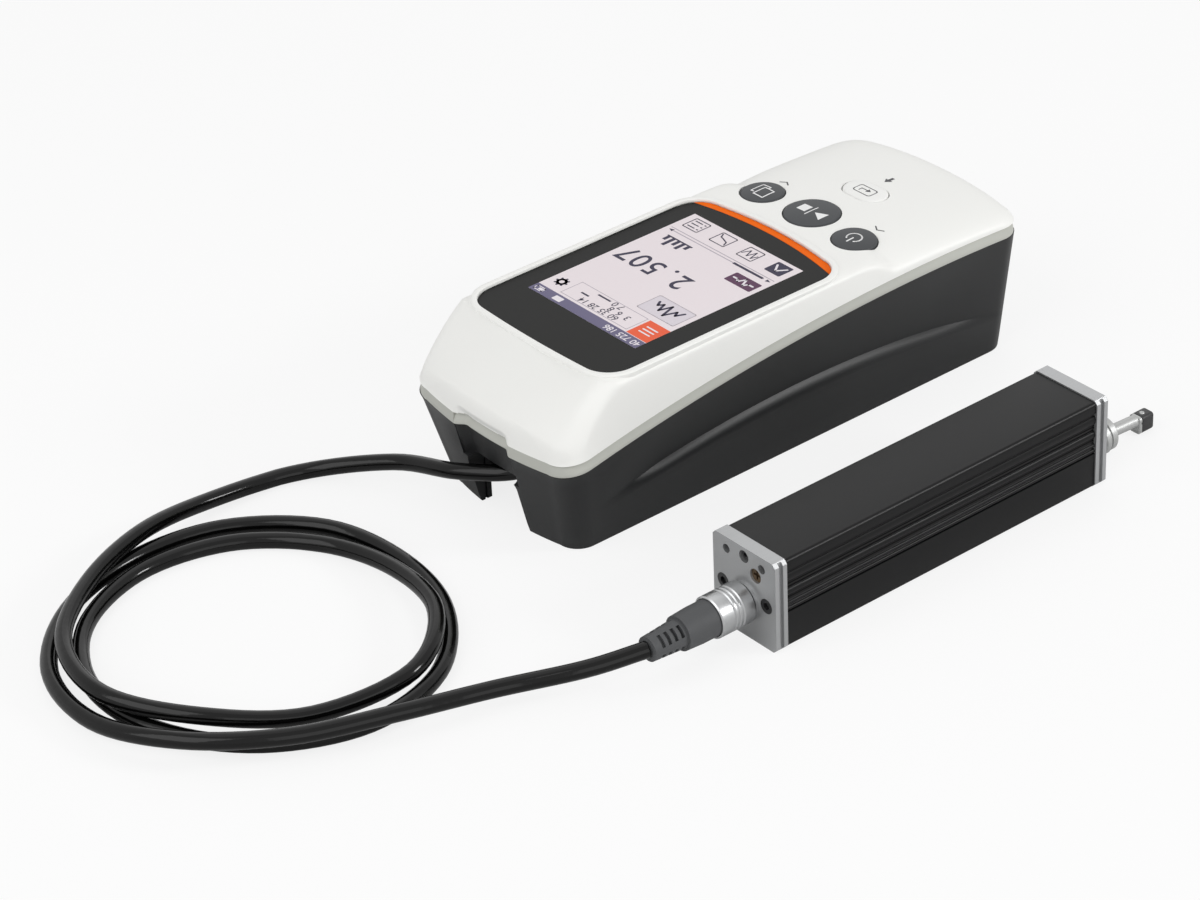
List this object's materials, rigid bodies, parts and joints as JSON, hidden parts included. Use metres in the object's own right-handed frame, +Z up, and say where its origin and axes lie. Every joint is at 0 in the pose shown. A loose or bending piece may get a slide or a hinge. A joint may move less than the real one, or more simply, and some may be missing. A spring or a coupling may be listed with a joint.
{
  "type": "surface roughness tester",
  "caption": "Handheld surface roughness tester: display unit with window, keys and docking bay, beside its motor drive unit with detector, joined by a coiled cable",
  "frame": {"origin": "on the table, in the middle of the display unit's length and midway across the two units", "axes": "+X along both units towards the keys and the detector, +Y from the drive unit to the display unit, +Z up"},
  "size_m": [0.2935, 0.1518, 0.0495],
  "materials": {
    "case_grey": "fine texture",
    "cover_white": "satin",
    "window_frame": "gloss",
    "accent_orange": "satin",
    "display_face": "satin",
    "board_green": "satin",
    "key_grey": "satin",
    "key_white": "satin",
    "battery_wrap": "satin",
    "screw_steel": "plain",
    "pin_steel": "polished",
    "port_plastic": "satin",
    "socket_plastic": "satin",
    "connector_metal": "satin",
    "boot_rubber": "matt",
    "cable_black": "gloss",
    "extrusion_black": "anodised",
    "plate_aluminium": "satin",
    "screw_black": "blackened",
    "screw_brown": "plain",
    "frame_aluminium": "plain",
    "motor_metal": "plain",
    "gear_brass": "plain",
    "detector_metal": "satin",
    "head_black": "satin",
    "stylus_bronze": "plain"
  },
  "bodies": {
    "base": {"lower_case": "case_grey", "top_cover": "cover_white", "window_glass": "window_frame", "accent_strip": "accent_orange", "display_module": "display_face", "main_board": "board_green", "key_board": "board_green", "battery_pack": "battery_wrap", "battery_cover": "case_grey", "case_screws": "screw_steel", "port_pin": "pin_steel", "port_sockets": "socket_plastic", "bay_socket": "connector_metal", "bay_plug": "connector_metal", "bay_boot": "boot_rubber", "cable": "cable_black", "drive_housing": "extrusion_black", "rear_plate": "plate_aluminium", "front_plate": "plate_aluminium", "plate_screws": "screw_black", "adjust_screw": "screw_brown", "connector_shell": "connector_metal", "plug_core": "socket_plastic", "cable_boot": "boot_rubber", "drive_frame": "frame_aluminium", "drive_motor": "motor_metal", "gearhead": "gear_brass", "guide_rods": "pin_steel", "drive_board": "board_green"},
    "page_button": {"page_key": "key_grey"},
    "start_button": {"start_key": "key_grey"},
    "power_button": {"power_key": "key_grey"},
    "enter_button": {"enter_key": "key_white"},
    "port_door": {"port_cover": "port_plastic"},
    "sleeve": {"coupling_sleeve": "connector_metal"},
    "screw": {"leadscrew": "screw_steel"},
    "slider": {"carriage": "frame_aluminium", "detector_body": "detector_metal", "detector_head": "head_black", "stylus_pivot": "pin_steel"},
    "stylus": {"stylus_arm": "stylus_bronze"}
  },
  "joints": [
    {"name": "page_press", "type": "slide", "parent": "base", "child": "page_button", "axis": [0, 0, -1], "range_m": [0, 0.0008], "stiffness_N_per_m": 500},
    {"name": "start_press", "type": "slide", "parent": "base", "child": "start_button", "axis": [0, 0, -1], "range_m": [0, 0.0008], "stiffness_N_per_m": 500},
    {"name": "power_press", "type": "slide", "parent": "base", "child": "power_button", "axis": [0, 0, -1], "range_m": [0, 0.0008], "stiffness_N_per_m": 500},
    {"name": "enter_press", "type": "slide", "parent": "base", "child": "enter_button", "axis": [0, 0, -1], "range_m": [0, 0.0008], "stiffness_N_per_m": 500},
    {"name": "port_door_swing", "type": "hinge", "parent": "base", "child": "port_door", "pos_m": [0.08, 0.02185, 0.0253], "axis": [0, 1, 0], "range_deg": [0, 95]},
    {"name": "sleeve_draw", "type": "slide", "parent": "base", "child": "sleeve", "axis": [-1, 0, 0], "range_m": [0, 0.0015], "stiffness_N_per_m": 400},
    {"name": "leadscrew_spin", "type": "hinge", "parent": "base", "child": "screw", "pos_m": [-0.006, -0.05225, 0.0172], "axis": [1, 0, 0], "range_deg": [-60, 6360]},
    {"name": "carriage_slide", "type": "slide", "parent": "base", "child": "slider", "axis": [1, 0, 0], "range_m": [0, 0.0175]},
    {"name": "stylus_swing", "type": "hinge", "parent": "slider", "child": "stylus", "pos_m": [0.0728, -0.05225, 0.00381], "axis": [0, 1, 0], "range_deg": [-2, 2], "stiffness_Nm_per_rad": 0.002}
  ],
  "couplings": [
    {"joint": "leadscrew_spin", "follows": "carriage_slide", "rad_per_m": 6283.2}
  ]
}
